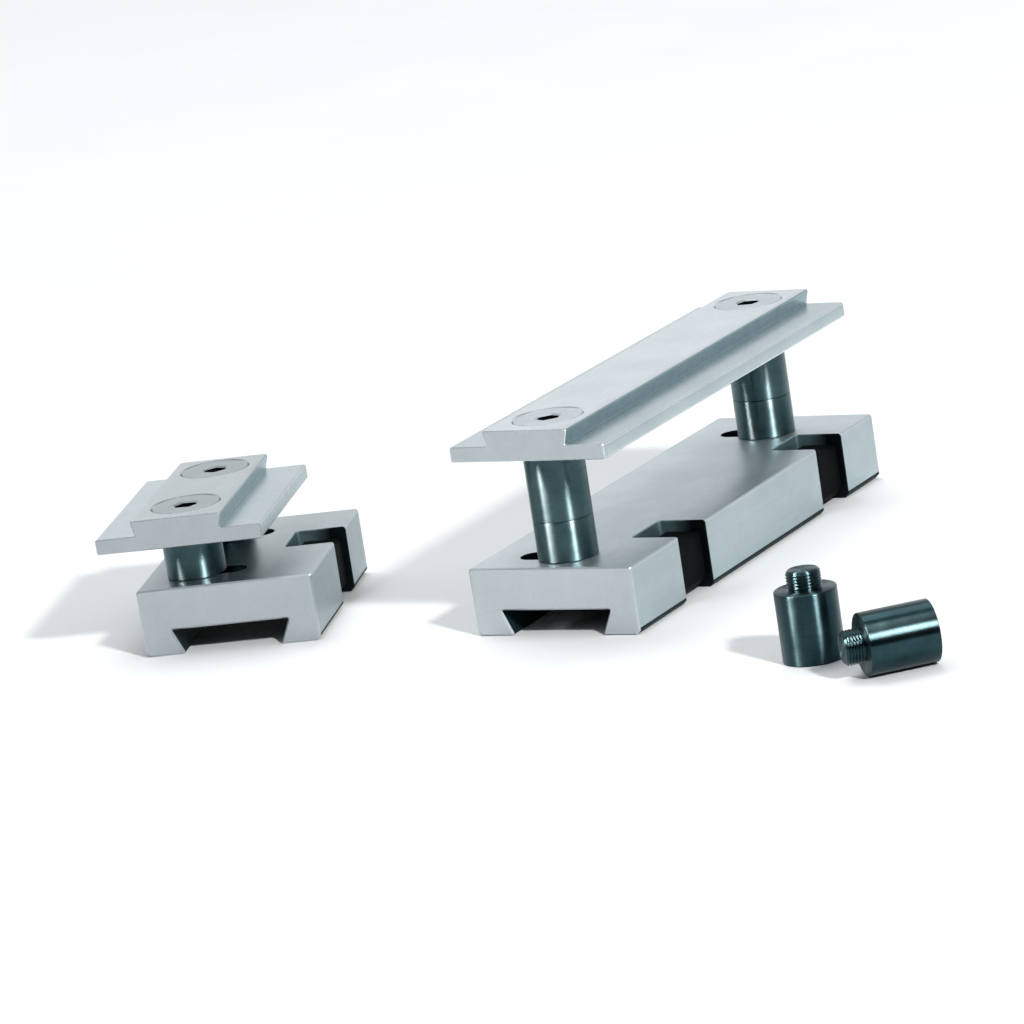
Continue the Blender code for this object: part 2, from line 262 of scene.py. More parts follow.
def turned_steel(name, light, dark, rough_lo, rough_hi, stretch, groove=0.35):
    """Lathe-turned steel: rings about the local Z axis draw its highlights out along it."""
    mat, tree, shader = new_material(name)
    coord = add(tree, "ShaderNodeTexCoord")
    split = add(tree, "ShaderNodeSeparateXYZ")
    link(tree, coord.outputs["Object"], split.inputs["Vector"])
    rings = add(tree, "ShaderNodeTexNoise", noise_dimensions="1D")
    rings.inputs["Scale"].default_value = 9000
    rings.inputs["Detail"].default_value = 3
    link(tree, split.outputs["Z"], rings.inputs["W"])
    plain = mapped(tree)
    stain = noise(tree, plain, 420, 4, 0.6)
    speck = noise(tree, plain, 5200, 3, 0.6)
    colour = ramp(tree, stain, [(0.3, dark), (0.7, light)])
    marks = ramp(tree, rings.outputs["Fac"], [(0.3, (0.82, 0.84, 0.85)), (0.7, (1, 1, 1))])
    link(tree, tinted(tree, colour, marks), shader.inputs["Base Color"])
    shader.inputs["Metallic"].default_value = 1.0
    shader.inputs["Anisotropic"].default_value = stretch
    shader.inputs["Anisotropic Rotation"].default_value = 0.25
    tangent = add(tree, "ShaderNodeTangent", direction_type="RADIAL", axis="Z")
    link(tree, tangent.outputs["Tangent"], shader.inputs["Tangent"])
    link(tree, remap(tree, stain, rough_lo, rough_hi), shader.inputs["Roughness"])
    bump(tree, shader, [(rings.outputs["Fac"], 0.00001, groove), (speck, 0.00001, 0.25)])
    return mat


def black_oxide_and_socket_shade(name):
    """Chemically blackened steel with a dry, slightly mottled skin; in the rail screws' sockets
    the same black is painted shade.
    """
    mat, tree, shader = new_material(name)
    plain = mapped(tree)
    cloud = noise(tree, plain, 500, 4, 0.6)
    grain = noise(tree, plain, 6000, 3, 0.6)
    colour = ramp(tree, cloud, [(0.3, (0.0006, 0.0013, 0.0016)), (0.7, (0.0016, 0.0034, 0.0040))])
    link(tree, colour, shader.inputs["Base Color"])
    shader.inputs["Specular IOR Level"].default_value = 0.05
    link(tree, remap(tree, grain, 0.55, 0.75), shader.inputs["Roughness"])
    bump(tree, shader, [(cloud, 0.00003, 0.25), (grain, 0.00002, 0.3)])
    return mat


# Light and dark tone of each aluminium finish; the side, step and end tones are darker copies of
# the lit ones, painted shade.
BLASTED = (0.63, 0.68, 0.70), (0.57, 0.62, 0.645)
SIDE_SHADE_TONE = (0.50, 0.585, 0.60), (0.455, 0.535, 0.55)
RAIL_TOP = (0.71, 0.75, 0.77), (0.65, 0.69, 0.715)
STEP_SHADE_TONE = (0.58, 0.645, 0.665), (0.53, 0.59, 0.61)
END_SHADE_TONE = (0.56, 0.605, 0.625), (0.50, 0.545, 0.57)


def riser_finishes(riser, body=1.0, top=1.0, side=1.0, rail=1.0, step=1.0, end=1.0,
                   top_skin=(0.36, 0.48, 1.0)):
    """The aluminium faces of one riser, lit and shaded copies of one metal: the side, lip, step
    and end tones are darker as painted shade; each number scales the tone of that face.
    top_skin is the roughness range and the relief of the base's upper face."""
    def metal(face, tones, scale, rough_lo, rough_hi, relief):
        light, dark = ([c * scale for c in tone] for tone in tones)
        return blasted_aluminium(f"{riser}_{face}", light, dark, rough_lo, rough_hi, relief)

    return {
        "body": metal("body", BLASTED, body, 0.36, 0.48, 1.0),
        "top": metal("top", BLASTED, top, *top_skin),
        "side": metal("side", SIDE_SHADE_TONE, side, 0.36, 0.48, 0.8),
        "lip": metal("lip", SIDE_SHADE_TONE, 1.0, 0.36, 0.48, 0.8),
        "rail": metal("rail", RAIL_TOP, rail, 0.24, 0.32, 0.12),
        "step": metal("step", STEP_SHADE_TONE, step, 0.26, 0.34, 0.2),
        "end": metal("end", END_SHADE_TONE, end, 0.30, 0.40, 0.3),
    }


# The short riser is the darker one in the photograph; its base's top is darker still, as painted
# shade and reflection of the rail above, and smoother, so that it mirrors the rail.
LONG_METAL = riser_finishes("long")
SHORT_METAL = riser_finishes("short", body=0.88, top=0.76, side=0.80, rail=0.74, step=0.98,
                             end=0.88, top_skin=(0.29, 0.36, 0.15))
POST_METAL = turned_steel("post_steel", (0.095, 0.165, 0.178), (0.055, 0.105, 0.115),
                          0.33, 0.38, 1.0)
SPARE_METAL = turned_steel("spare_post_steel", (0.036, 0.078, 0.088), (0.020, 0.048, 0.056),
                           0.28, 0.34, 1.0)
LONG_METAL["screw"] = turned_steel("long_screw", (0.64, 0.68, 0.70), (0.57, 0.61, 0.63),
                                   0.42, 0.52, 0.0, groove=0.5)
SHORT_METAL["screw"] = turned_steel("short_screw", (0.45, 0.49, 0.50), (0.40, 0.435, 0.45),
                                    0.42, 0.52, 0.0, groove=0.5)
# Painted shade: near-black for the groove, the slots and bores, and the lower chamfers.
RECESS_SHADE = painted_shade_milled("recess_painted_shade", (0.010, 0.026, 0.030), (0.003, 0.010, 0.012), 0.0, 0.40, 0.60)
# Painted shade on the jaw pockets' walls, darkest towards the open flank.
POCKET_SHADE = painted_shade_milled("pocket_painted_shade", (0.33, 0.46, 0.49), (0.23, 0.34, 0.37), 1.0, 0.42, 0.52,
                shade_span=(6.2, 8.6))
# Painted shade on the dovetails' undercut flanks.
FLANK_SHADE = painted_shade_milled("flank_painted_shade", (0.32, 0.43, 0.46), (0.26, 0.36, 0.39), 1.0, 0.26, 0.36)
BLACK = black_oxide_and_socket_shade("black_oxide_and_socket_shade")


# ------------------------------------------------------------------- shapes
def rounded(points, radii, steps=3):
    """Outline with each corner rounded by a short arc of its own radius (0 keeps it sharp)."""
    out = []
    n = len(points)
    for i, (p, r) in enumerate(zip(points, radii)):
        p = Vector(p)
        a = Vector(points[i - 1]) - p
        b = Vector(points[(i + 1) % n]) - p
        if r <= 0:
            out.append(tuple(p))
            continue
        half = a.angle(b) / 2
        cut = min(r / math.tan(half), 0.45 * a.length, 0.45 * b.length)
        r = cut * math.tan(half)
        a.normalize()
        b.normalize()
        centre = p + (a + b).normalized() * (r / math.sin(half))
        start, end = p + a * cut - centre, p + b * cut - centre
        sweep = start.angle_signed(end)
        for k in range(steps + 1):
            t = -sweep * k / steps
            c, s = math.cos(t), math.sin(t)
            out.append((centre.x + start.x * c - start.y * s,
                        centre.y + start.x * s + start.y * c))
    return out


def inset(points, d):
    """Outline moved inwards by d along each corner's mitre (points run anticlockwise)."""
    out = []
    n = len(points)
    for i, p in enumerate(points):
        p = Vector(p)
        e0 = (p - Vector(points[i - 1])).normalized()
        e1 = (Vector(points[(i + 1) % n]) - p).normalized()
        n0, n1 = Vector((-e0.y, e0.x)), Vector((-e1.y, e1.x))
        m = (n0 + n1).normalized()
        out.append(tuple(p + m * (d / max(0.3, m.dot(n0)))))
    return out


def area(points):
    """Signed area, positive when the outline runs anticlockwise."""
    return sum(points[i - 1][0] * p[1] - p[0] * points[i - 1][1]
               for i, p in enumerate(points)) / 2


def anticlockwise(points):
    return points if area(points) > 0 else points[::-1]


def loft(bm, rings):
    """Closed body through rings of equal length, capped at both ends."""
    rows = [[bm.verts.new(c) for c in ring] for ring in rings]
    n = len(rows[0])
    for a, b in zip(rows, rows[1:]):
        for i in range(n):
            bm.faces.new((a[i], a[(i + 1) % n], b[(i + 1) % n], b[i]))
    bm.faces.new(rows[0])
    bm.faces.new(rows[-1])


def turns_left(points, i):
    """Whether the outline turns left at corner i, an outer corner of an anticlockwise one."""
    p = Vector(points[i])
    e0, e1 = p - Vector(points[i - 1]), Vector(points[(i + 1) % len(points)]) - p
    return e0.x * e1.y - e0.y * e1.x > 0


def bar(points, radii, y0, y1, edge):
    """Prism along Y from a cornered outline in X and Z, ends chamfered by edge (mm)."""
    if area(points) < 0:
        points, radii = points[::-1], radii[::-1]
    outline = rounded(points, radii)
    shrunk = [r and max(0.02, r - edge if turns_left(points, i) else r + edge)
              for i, r in enumerate(radii)]
    small = rounded(inset(points, edge), shrunk)
    bm = bmesh.new()
    loft(bm, [[lift(x, y, z) for x, z in ring] for ring, y in
              ((small, y0), (outline, y0 + edge), (outline, y1 - edge), (small, y1))])
    return bm


def upright(outline, z0, z1, flare=0.0):
    """Prism along Z from an outline in X and Y; the top may flare outwards at 45 degrees."""
    outline = anticlockwise(outline)
    rings = [(outline, z0), (outline, z1)]
    if flare:
        rings = [(outline, z0), (outline, z1 - flare), (inset(outline, -flare), z1)]
    bm = bmesh.new()
    loft(bm, [[lift(x, y, z) for x, y in ring] for ring, z in rings])
    return bm


def stadium(x0, x1, y, half, steps=20):
    """Slot outline: half circles of radius half about (x0, y) and (x1, y)."""
    ring = []
    for cx, start in ((x1, -90), (x0, 90)):
        for i in range(steps + 1):
            a = math.radians(start + 180 * i / steps)
            ring.append((cx + half * math.cos(a), y + half * math.sin(a)))
    return ring


def turned(rows, segments=96):
    """Surface of revolution about Z.  Each row is (radius, height) in mm; a radius may be a
    function of (angle, height), which gives hexagons and helical threads."""
    bm = bmesh.new()
    rings = []
    for r, z in rows:
        if not callable(r) and r == 0:
            rings.append([bm.verts.new((0, 0, z * MM))])
            continue
        ring = []
        for i in range(segments):
            a = 2 * math.pi * i / segments
            rad = r(a, z) if callable(r) else r
            ring.append(bm.verts.new((rad * MM * math.cos(a), rad * MM * math.sin(a), z * MM)))
        rings.append(ring)
    for a, b in zip(rings, rings[1:]):
        for i in range(segments):
            j = (i + 1) % segments
            if len(a) == 1 and len(b) == 1:
                continue
            if len(a) == 1:
                bm.faces.new((a[0], b[i], b[j]))
            elif len(b) == 1:
                bm.faces.new((a[i], a[j], b[0]))
            else:
                bm.faces.new((a[i], a[j], b[j], b[i]))
    return bm


def hexagon(flats):
    """Radius of a hexagon of this width across its flats."""
    def radius(angle, _z):
        return flats / 2 / math.cos((angle + math.pi / 6) % (math.pi / 3) - math.pi / 6)
    return radius


def thread(major, depth, pitch, limit=None):
    """Radius of a helical 60 degree thread; limit(z) trims the crests near an end."""
    def radius(angle, z):
        t = (z / pitch - angle / (2 * math.pi)) % 1.0
        wave = abs(2 * t - 1) * 1.35 - 0.12     # flattened at the crest and the root
        r = major - depth * min(1.0, max(0.0, wave))
        return min(r, limit(z)) if limit else r
    return radius


def thread_rows(radius, z0, z1, pitch, per):
    """Rows of a thread from z0 to z1, per rows to each pitch."""
    steps = max(2, round(abs(z1 - z0) / pitch * per))
    return [(radius, z0 + (z1 - z0) * i / steps) for i in range(steps + 1)]


def arc(cx, cz, r, a0, a1, steps=4):
    """Rows along an arc about (cx, cz) from a0 to a1 degrees."""
    angles = [math.radians(a0 + (a1 - a0) * i / steps) for i in range(steps + 1)]
    return [(cx + r * math.cos(a), cz + r * math.sin(a)) for a in angles]


def to_object(bm, name, matrix, mat):
    bmesh.ops.remove_doubles(bm, verts=bm.verts, dist=1e-8)
    bmesh.ops.recalc_face_normals(bm, faces=bm.faces)
    me = bpy.data.meshes.new(name)
    bm.to_mesh(me)
    bm.free()
    me.shade_smooth()
    me.set_sharp_from_angle(angle=SMOOTH_ANGLE)
    ob = bpy.data.objects.new(name, me)
    bpy.context.collection.objects.link(ob)
    ob.matrix_world = matrix
    me.materials.append(mat)
    return ob


def carve(ob, cutters, finish=None):
    """Subtract cutter meshes (in the object's own coordinates) and keep the plain result.
    The cut faces take the given finish, or the body's own."""
    made = []
    for n, bm in enumerate(cutters):
        bmesh.ops.recalc_face_normals(bm, faces=bm.faces)
        me = bpy.data.meshes.new("cutter")
        bm.to_mesh(me)
        bm.free()
        me.materials.append(finish or ob.data.materials[0])
        c = bpy.data.objects.new("cutter", me)
        bpy.context.collection.objects.link(c)
        c.matrix_world = ob.matrix_world
        mod = ob.modifiers.new(f"cut{n}", "BOOLEAN")
        mod.operation, mod.solver, mod.object = "DIFFERENCE", "EXACT", c
        mod.material_mode = "TRANSFER"
        made.append(c)
    bpy.context.view_layer.update()
    result = bpy.data.meshes.new_from_object(
        ob.evaluated_get(bpy.context.evaluated_depsgraph_get()))
    ob.modifiers.clear()
    ob.data = result
    for c in made:
        bpy.data.objects.remove(c, do_unlink=True)
    result.shade_smooth()
    result.set_sharp_from_angle(angle=SMOOTH_ANGLE)


def finish_faces(ob, material, inside):
    """Give the faces whose centre (mm, own coordinates) passes the test another finish."""
    ob.data.materials.append(material)
    for face in ob.data.polygons:
        if inside(*(face.center / MM)):
            face.material_index = len(ob.data.materials) - 1


def settle(ob, node, body):
    """Let a piece stand in for its CAD node and move with its body."""
    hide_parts(node)
    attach(ob, body)


# -------------------------------------------------------------------- parts
# Section of a base in X and Z with its corner radii. The two corners with no radius, 0.8 mm
# up, only part the band of painted shadow along the foot from the flank above it.
BASE_POINTS = [(-10.0, 0), (-5.7, 0), (-7.0, 3.0), (7.0, 3.0), (5.7, 0), (10.0, 0), (10.5, 0.5),
               (10.5, 0.8), (10.5, 8.0), (-10.5, 8.0), (-10.5, 0.8), (-10.5, 0.5)]
BASE_RADII = [0.15, 0.22, 0.1, 0.1, 0.22, 0.15, 0.15, 0, 0.35, 0.35, 0, 0.15]

# Section of a rail, height from its underside.
RAIL_POINTS = [(-9.9, 0), (9.9, 0), (9.9, 1.8), (5.0, 1.8), (5.5, 3.6), (-5.5, 3.6),
               (-5.0, 1.8), (-9.9, 1.8)]
RAIL_RADII = [0.25, 0.25, 0.25, 0.12, 0.25, 0.25, 0.12, 0.25]

# Section of a jaw, with the foot that hooks under the dovetail in the groove.
JAW_POINTS = [(8.9, 0.4), (9.8, 1.3), (9.8, 6.7), (5.2, 6.7), (5.2, 2.9), (6.0, 2.6), (5.1, 0.4)]
JAW_RADII = [0.2, 0.3, 0.4, 0.3, 0.1, 0.25, 0.25]
JAW_GAP = 0.12              # on either side of a jaw in its pocket
JAW_EDGE = 0.15

# Half section of the clamp screws' counterbore and hole, about the screw's axis.
CLAMP_BORE = [(0, -12), (4.1, -12), (2.4, -10.3), (2.4, -7.6), (1.32, -7.6), (1.32, 5.0),
              (0, 5.0)]
# The same of the jaws' blind hole, with its wide mouth.
JAW_BORE = [(0, 3.8), (2.9, 3.8), (1.3, 5.4), (1.3, 8.9), (0, 9.2)]


def turned_cutter(rows, matrix):
    bm = turned(rows, 64)
    bmesh.ops.transform(bm, matrix=matrix, verts=bm.verts)
    return bm


def pocket_cutters(y0):
    """Jaw pocket through the right flank, inner corners rounded, rims chamfered."""
    y1 = y0 + POCKET_LENGTH
    plan = rounded([(POCKET_INNER, y0), (14, y0), (14, y1), (POCKET_INNER, y1)],
                   [0.5, 0, 0, 0.5], 5)
    body = upright(plan, -1, BASE_HEIGHT + 1)
    # The two chamfer cutters go on widening for this far past the surface.
    past = 0.3
    spread = past + POCKET_RIM
    flare = upright(plan, 5, BASE_HEIGHT + past, spread)
    side = bmesh.new()
    ring_at = [(BASE_HALF_WIDTH - POCKET_RIM, y0, y1),
               (BASE_HALF_WIDTH + past, y0 - spread, y1 + spread)]
    low, high = 0.2, BASE_HEIGHT + 1
    loft(side, [[lift(x, a, low), lift(x, b, low), lift(x, b, high), lift(x, a, high)]
                for x, a, b in ring_at])
    return [body, flare, side]


def make_base(name, matrix, length, pockets, clamps, posts, metal, body):
    """Base block: groove beneath, stepped slots for the foot screws, clamp bores, pockets."""
    def between_ends(y):
        return BASE_EDGE < y < length - BASE_EDGE

    def in_groove(x, z):
        return 0.2 < z < 3.1 and abs(x) < 5.85 + z * 0.44

    def on_lower_chamfer(x, z):
        return z < 0.78 and abs(x) > 10.02

    ob = to_object(bar(BASE_POINTS, BASE_RADII, 0, length, BASE_EDGE), name + "_milled", matrix,
                   metal["body"])
    # Painted shade: the groove's faces and the chamfer and band along each foot take the
    # near-black colour.
    finish_faces(ob, RECESS_SHADE, lambda x, y, z: between_ends(y)
                 and (in_groove(x, z) or on_lower_chamfer(x, z)))
    # Painted shade: the flanks take the darker side tone.
    finish_faces(ob, metal["side"],
                 lambda x, y, z: abs(x) > BASE_HALF_WIDTH - 0.01 and 1.0 < z < 7.0)
    finish_faces(ob, metal["top"], lambda x, y, z: z > BASE_HEIGHT - 0.01)
    cutters = []
    for y in posts:
        slot = stadium(SLOT_END, 0, y, SLOT_RADIUS)
        cutters.append(upright(stadium(SLOT_END, 0, y, COUNTERSLOT_RADIUS), 2.95, 5.08))
        cutters.append(upright(slot, 4.6, BASE_HEIGHT + 1))
        cutters.append(upright(slot, BASE_HEIGHT - 0.1, BASE_HEIGHT + 0.2, 0.2))
    for y in clamps:
        axis = Matrix.Translation(lift(0, y, CLAMP_HEIGHT)) @ ABOUT_X
        cutters.append(turned_cutter(CLAMP_BORE, axis))
    # Painted shade: the faces cut for the slots and the clamp bores take the near-black colour.
    carve(ob, cutters, RECESS_SHADE)
    # Painted shade: the pockets' walls take the darker pocket colour.
    carve(ob, [bm for y in pockets for bm in pocket_cutters(y)], POCKET_SHADE)
    settle(ob, name, body)


def make_rail(name, matrix, span, top, posts, metal, body):
    """Dovetail rail from span[0] to span[1], countersunk at each post."""
    y0, y1 = span
    z = top - RAIL_HEIGHT
    step = z + RAIL_FLANGE

    def between_ends(y):
        return y0 + RAIL_EDGE < y < y1 - RAIL_EDGE

    ob = to_object(bar([(x, h + z) for x, h in RAIL_POINTS], RAIL_RADII, y0, y1, RAIL_EDGE),
                   name + "_milled", matrix, metal["rail"])
    # Painted shade: the undercut flanks take a darker colour.
    finish_faces(ob, FLANK_SHADE, lambda x, y, h: between_ends(y)
                 and 4.9 < abs(x) < 5.45 and step - 0.05 < h < top - 0.1)
    # Painted shade: the steps, the lips and the ends take darker tones of the rail's metal.
    finish_faces(ob, metal["step"], lambda x, y, h: between_ends(y)
                 and 5.4 < abs(x) < 9.6 and abs(h - step) < 0.1)
    finish_faces(ob, metal["lip"], lambda x, y, h: abs(x) > RAIL_HALF_WIDTH - 0.01)
    finish_faces(ob, metal["end"], lambda x, y, h: y < y0 + 0.04 or y > y1 - 0.04)
    # Half section of a countersunk hole, with a rim chamfered on both faces of the rail.
    countersink = [(0, z - 2), (4.15, z - 2), (2.35, z - 0.2), (2.15, z + 0.2),
                   (2.15, top - 2.15), (4.08, top - 0.22), (4.12, top - 0.12),
                   (4.9, top + 0.66), (0, top + 0.66)]
    carve(ob, [turned_cutter(countersink, Matrix.Translation(lift(0, y, 0))) for y in posts])
    settle(ob, name, body)


def make_jaw(name, matrix, pocket, clamp, body):
    """Clamp jaw with its origin on the clamp screw's axis and a blind tapped hole."""
    low = pocket + JAW_GAP - clamp
    section = [(x, h - CLAMP_HEIGHT) for x, h in JAW_POINTS]
    ob = to_object(bar(section, JAW_RADII, low, low + POCKET_LENGTH - 2 * JAW_GAP, JAW_EDGE),
                   name + "_forged", at(matrix, 0, clamp, CLAMP_HEIGHT), BLACK)
    carve(ob, [turned_cutter(JAW_BORE, ABOUT_X)])
    settle(ob, name, body)


def make_clamp_screw(name, matrix, y, body):
    """M2.5 socket cap screw along X, head in the left flank."""
    seat, tip, shank_end = -7.7, 8.4, 0.5
    head_radius, rim, shank, pitch = 2.2, 0.2, 1.2, 0.45
    head = seat - 2.5
    grip = thread(shank, 0.16, pitch, lambda z: min(shank, shank - 0.35 + (tip - z)))
    rows = [(0, head + 1.45), (hexagon(2.0), head + 1.2), (hexagon(2.0), head + 0.1),
            (hexagon(2.2), head), (head_radius - rim, head)]
    rows += arc(head_radius - rim, head + rim, rim, -90, 0)
    rows += [(head_radius, seat - 0.1), (head_radius - 0.1, seat), (shank, seat),
             (shank, shank_end)]
    rows += thread_rows(grip, shank_end, tip, pitch, 8) + [(0, tip)]
    ob = to_object(turned(rows, 72), name + "_turned", at(matrix, 0, y, CLAMP_HEIGHT) @ ABOUT_X,
                   BLACK)
    settle(ob, name, body)


def make_foot_screw(name, matrix, y, body):
    """M3 low head socket screw from beneath, through the slot, into a foot post."""
    head, seat, tip = 3.1, 5.0, 9.7
    head_radius, rim, shank, pitch = 2.7, 0.3, 1.42, 0.5
    grip = thread(shank, 0.17, pitch, lambda z: min(shank, 1.0 + (tip - z)))
    rows = [(0, head + 1.35), (hexagon(2.0), head + 1.1), (hexagon(2.0), head + 0.1),
            (hexagon(2.2), head), (head_radius - rim, head)]
    rows += arc(head_radius - rim, head + rim, rim, -90, 0)
    rows += [(head_radius, seat - 0.1), (head_radius - 0.1, seat), (shank, seat)]
    rows += thread_rows(grip, seat + 0.2, tip, pitch, 8) + [(0, tip)]
    settle(to_object(turned(rows, 72), name + "_turned", at(matrix, 0, y), BLACK), name, body)


def make_foot_post(name, matrix, y, body):
    """Plain post on the base, its bore stepped for the foot screw below and a stud above."""
    low, high, step = BASE_HEIGHT + 0.04, FOOT_POST_TOP - 0.02, 9.82
    lower_bore, upper_bore, e = 1.5, 2.03, POST_EDGE
    rows = [(lower_bore, low), (POST_RADIUS - e, low)]
    rows += arc(POST_RADIUS - e, low + e, e, -90, 0) + arc(POST_RADIUS - e, high - e, e, 0, 90)
    rows += [(2.2, high), (upper_bore, high - 0.17), (upper_bore, step), (lower_bore, step),
             (lower_bore, low)]
    settle(to_object(turned(rows), name + "_turned", at(matrix, 0, y), POST_METAL), name, body)


def make_extension(name, matrix, mat, body):
    """Extension post: stud at negative height, body from 0 up, threaded blind bore in its top."""
    h, e, tip, pitch, depth, stud_radius = EXTENSION_HEIGHT, POST_EDGE, -2.2, 0.35, 0.14, 1.95
    stud = thread(stud_radius, depth, pitch,
                  lambda z: min(stud_radius, stud_radius - 0.3 + (z - tip)))
    rows = [(0, tip), (1.2, tip)] + thread_rows(stud, tip, -0.25, pitch, 10)
    rows += [(1.78, -0.2), (1.78, 0.0), (POST_RADIUS - e, 0)]
    rows += arc(POST_RADIUS - e, e, e, -90, 0) + arc(POST_RADIUS - e, h - e, e, 0, 90)
    rows += [(2.35, h), (2.06, h - 0.29)]
    rows += thread_rows(thread(2.18, depth, pitch), h - 0.35, h - 4.6, pitch, 8)
    rows += [(2.03, h - 4.7), (2.03, h - 5.2), (0, h - 5.8)]
    settle(to_object(turned(rows), name + "_turned", matrix, mat), name, body)


def make_rail_screw(name, matrix, y, rail_top, length, metal, body, turn):
    """M4 countersunk socket screw, its socket turned by turn degrees."""
    head_radius, shank, pitch, socket = 4.0, 1.95, 0.7, 2.5
    top, tip = rail_top - 0.05, rail_top - length
    cone = top - 0.2 - (head_radius - shank)
    grip = thread(shank, 0.26, pitch, lambda z: min(shank, shank - 0.4 + (z - tip)))
    rows = [(0, tip)] + thread_rows(grip, tip, cone - 0.1, pitch, 8)
    rows += [(shank, cone), (head_radius, top - 0.2), (head_radius, top - 0.08),
             (head_radius - 0.08, top), (hexagon(socket + 0.36), top),
             (hexagon(socket), top - 0.18), (hexagon(socket), top - 1.6), (0, top - 1.95)]
    ob = to_object(turned(rows), name + "_turned",
                   at(matrix, 0, y) @ Matrix.Rotation(math.radians(turn), 4, "Z"), metal["screw"])
    # Painted shade: the socket's faces take the black finish.
    finish_faces(ob, BLACK, lambda x, y, z: math.hypot(x, y) < 1.5
                 and top - 2.0 < z < top - 0.12)
    settle(ob, name, body)


# Long riser, shown with its rail at the right end of the slots.
make_base("long_base", LONG, LONG_LENGTH, LONG_POCKETS, LONG_CLAMPS, LONG_POSTS, LONG_METAL,
          "long_riser_base")
for where, pocket, clamp, post, turn in zip(("front", "rear"), LONG_POCKETS, LONG_CLAMPS,
                                            LONG_POSTS, (12, 40)):
    make_jaw(f"long_{where}_jaw", LONG, pocket, clamp, f"long_{where}_jaw")
    make_clamp_screw(f"long_{where}_clamp_screw", LONG, clamp, f"long_{where}_clamp_screw")
    make_foot_screw(f"long_{where}_foot_screw", LONG, post, "long_rail_carriage")
    make_foot_post(f"long_{where}_foot_post", LONG, post, "long_rail_carriage")
    make_extension(f"long_{where}_extension_post", at(LONG, 0, post, FOOT_POST_TOP), POST_METAL,
                   "long_rail_carriage")
    make_rail_screw(f"long_{where}_rail_screw", LONG, post, LONG_RAIL_TOP, 8.0, LONG_METAL,
                    "long_rail_carriage", turn)
make_rail("long_rail", LONG, LONG_RAIL_Y, LONG_RAIL_TOP, LONG_POSTS, LONG_METAL,
          "long_rail_carriage")

# Short riser, shown with its rail at the left end of the slots.
make_base("short_base", SHORT, SHORT_LENGTH, (SHORT_POCKET,), (SHORT_CLAMP,), SHORT_POSTS,
          SHORT_METAL, "short_riser_base")
make_jaw("short_jaw", SHORT, SHORT_POCKET, SHORT_CLAMP, "short_jaw")
make_clamp_screw("short_clamp_screw", SHORT, SHORT_CLAMP, "short_clamp_screw")
for where, post, turn in zip(("front", "rear"), SHORT_POSTS, (25, 8)):
    make_foot_screw(f"short_{where}_foot_screw", SHORT_RAIL, post, "short_rail_carriage")
    make_foot_post(f"short_{where}_foot_post", SHORT_RAIL, post, "short_rail_carriage")
    make_rail_screw(f"short_{where}_rail_screw", SHORT_RAIL, post, SHORT_RAIL_TOP, 6.0,
                    SHORT_METAL, "short_rail_carriage", turn)
make_rail("short_rail", SHORT_RAIL, SHORT_RAIL_Y, SHORT_RAIL_TOP, SHORT_POSTS, SHORT_METAL,
          "short_rail_carriage")

# Spare posts: one stands on its tapped end, the other lies with its stud towards it.
lo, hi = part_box("standing_extension_post")
STANDING = Matrix.Translation(((lo[0] + hi[0]) / 2, (lo[1] + hi[1]) / 2,
                               EXTENSION_HEIGHT * MM)) @ Matrix.Rotation(math.pi, 4, "X")
make_extension("standing_extension_post", STANDING, SPARE_METAL, "standing_spare_post")
LYING = at(LONG, LYING_PLACE[0] - LYING_MIDDLE * math.cos(LYING_TURN),
           LYING_PLACE[1] - LYING_MIDDLE * math.sin(LYING_TURN), POST_RADIUS) \
    @ Matrix.Rotation(LYING_TURN, 4, "Z") @ ABOUT_X
make_extension("lying_extension_post", LYING, SPARE_METAL, "lying_spare_post")


# -------------------------------------------------------------------- stage
FLOOR_HALF_WIDTH = 4.0      # metres
FLOOR_GAP = 0.02            # mm beneath the lowest face of the set
FLOOR_GREY = 0.87           # reflectance of the paper, for the lights' strengths
SCREEN_SIDE = (-0.5, 0.866, 0)      # its direction from the set
SCREEN_WHITE = (0.95, 0.98, 1.0, 1)
HORIZON, ZENITH = (0.05, 0.06, 0.065), (0.66, 0.69, 0.71)
WARM = (1.0, 0.69, 0.63)    # makes up for the posts' own blue-green tint

# Camera fitted to the photograph: its place in mm in the long riser's own coordinates, then
# its tilt, roll and turn in degrees. The roll follows the lean of the long riser.
CAMERA_PLACE = (327.01, -570.39, 173.34)
CAMERA_ANGLES = (76.3102, 8.5504, 28.0228)
CAMERA_LENS = 210.9375      # on a sensor 36 mm wide


def floor_material():
    """Matt white paper with a very faint fibre grain."""
    mat, tree, shader = new_material("paper")
    plain = mapped(tree)
    cloud = noise(tree, plain, 30, 3, 0.5)
    fibre = noise(tree, plain, 1800, 3, 0.6)
    link(tree, ramp(tree, cloud, [(0.3, (0.86, 0.865, 0.87)), (0.7, (0.88, 0.885, 0.89))]),
         shader.inputs["Base Color"])
    shader.inputs["Roughness"].default_value = 0.8
    bump(tree, shader, [(fibre, 0.00002, 0.15)])
    return mat


def make_floor():
    """Sheet of paper just beneath the lowest face of the set."""
    bm = bmesh.new()
    bmesh.ops.create_grid(bm, x_segments=4, y_segments=4, size=FLOOR_HALF_WIDTH)
    me = bpy.data.meshes.new("floor")
    bm.to_mesh(me)
    bm.free()
    me.materials.append(floor_material())
    floor = bpy.data.objects.new("floor", me)
    bpy.context.collection.objects.link(floor)
    floor.location = (0, 0, CAD_BOX[0][2] - FLOOR_GAP * MM)


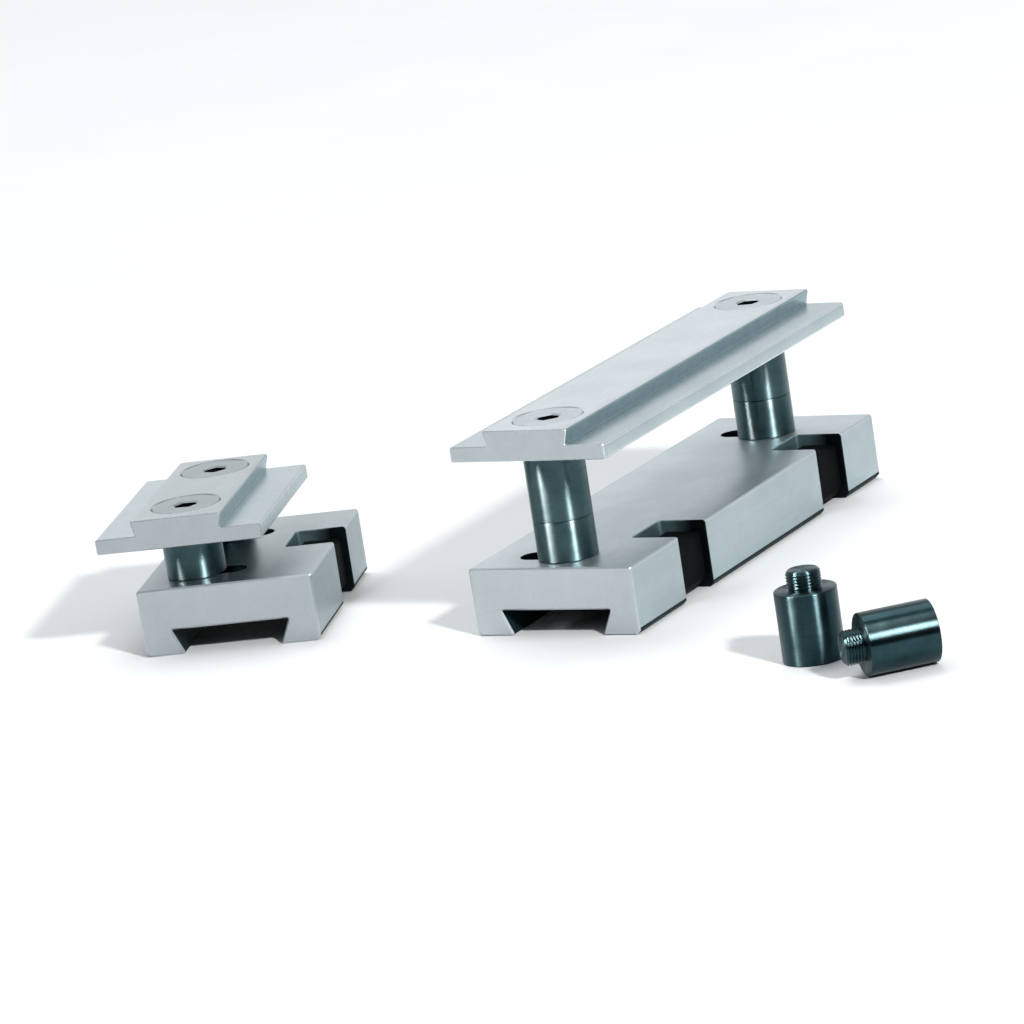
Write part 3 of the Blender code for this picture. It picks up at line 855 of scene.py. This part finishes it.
def make_world():
    """Surround: dark at the horizon, pale overhead, a white screen low down behind the set."""
    world = bpy.data.worlds.new("studio")
    bpy.context.scene.world = world
    world.use_nodes = True
    tree = world.node_tree
    surround = tree.nodes["Background"]
    coord = add(tree, "ShaderNodeTexCoord")
    split = add(tree, "ShaderNodeSeparateXYZ")
    link(tree, coord.outputs["Generated"], split.inputs["Vector"])
    toward = add(tree, "ShaderNodeVectorMath", operation="DOT_PRODUCT")
    link(tree, coord.outputs["Generated"], toward.inputs[0])
    toward.inputs[1].default_value = SCREEN_SIDE
    behind = remap(tree, toward.outputs["Value"], 0, 1, 0.0, 0.5)
    low = remap(tree, split.outputs["Z"], 1, 0, 0.35, 0.75)
    screen = add(tree, "ShaderNodeMath", operation="MULTIPLY")
    link(tree, behind, screen.inputs[0])
    link(tree, low, screen.inputs[1])
    height = remap(tree, split.outputs["Z"], 0, 1, 0.3, 1.0)
    mix = add(tree, "ShaderNodeMixRGB")
    link(tree, screen.outputs["Value"], mix.inputs["Fac"])
    link(tree, ramp(tree, height, [(0.0, HORIZON), (1.0, ZENITH)]), mix.inputs["Color1"])
    mix.inputs["Color2"].default_value = SCREEN_WHITE
    link(tree, mix.outputs["Color"], surround.inputs["Color"])
    surround.inputs["Strength"].default_value = 1.0


def softbox(name, azimuth, elevation, distance, size, share, colour=(1, 1, 1), only=None):
    """Area light aimed at the set, its place in degrees and metres. share is the brightness
    that it alone would give the paper, 1 being white; only= makes it shine on one collection."""
    az, el = math.radians(azimuth), math.radians(elevation)
    place = Vector((math.cos(az) * math.cos(el), math.sin(az) * math.cos(el), math.sin(el)))
    data = bpy.data.lights.new(name, "AREA")
    data.shape = "RECTANGLE"
    data.size, data.size_y = size
    data.energy = share * math.pi / FLOOR_GREY * math.pi * distance ** 2 / place.z
    data.color = colour
    ob = bpy.data.objects.new(name, data)
    if only:
        ob.light_linking.receiver_collection = only
    bpy.context.collection.objects.link(ob)
    ob.location = place * distance
    ob.rotation_euler = (-place).to_track_quat("-Z", "Y").to_euler()


def make_camera():
    """The view of the photograph."""
    cam = bpy.data.cameras.new("camera")
    cam.lens, cam.sensor_width, cam.sensor_fit = CAMERA_LENS, 36.0, "HORIZONTAL"
    cam.clip_start = 0.01
    view = bpy.data.objects.new("camera", cam)
    bpy.context.collection.objects.link(view)
    aim = Euler([math.radians(angle) for angle in CAMERA_ANGLES]).to_matrix()
    view.matrix_world = at(LONG, *CAMERA_PLACE) @ aim.to_4x4()
    bpy.context.scene.camera = view


make_floor()
make_world()
# The two strips shine on the posts alone, and draw the two upright streaks on each.
POSTS = bpy.data.collections.new("turned_posts")
for piece in bpy.data.objects:
    if piece.name.endswith("post_turned"):
        POSTS.objects.link(piece)
softbox("key", -30, 35, 1.5, (0.12, 0.12), 0.40)
softbox("back", 140, 68, 1.3, (0.7, 0.7), 0.30)
softbox("left_strip", -131, 38, 1.3, (0.16, 0.8), 2.25, WARM, POSTS)
softbox("right_strip", -27, 34, 1.45, (0.20, 0.5), 1.2, WARM, POSTS)
make_camera()
bpy.context.scene.view_settings.view_transform = "Standard"
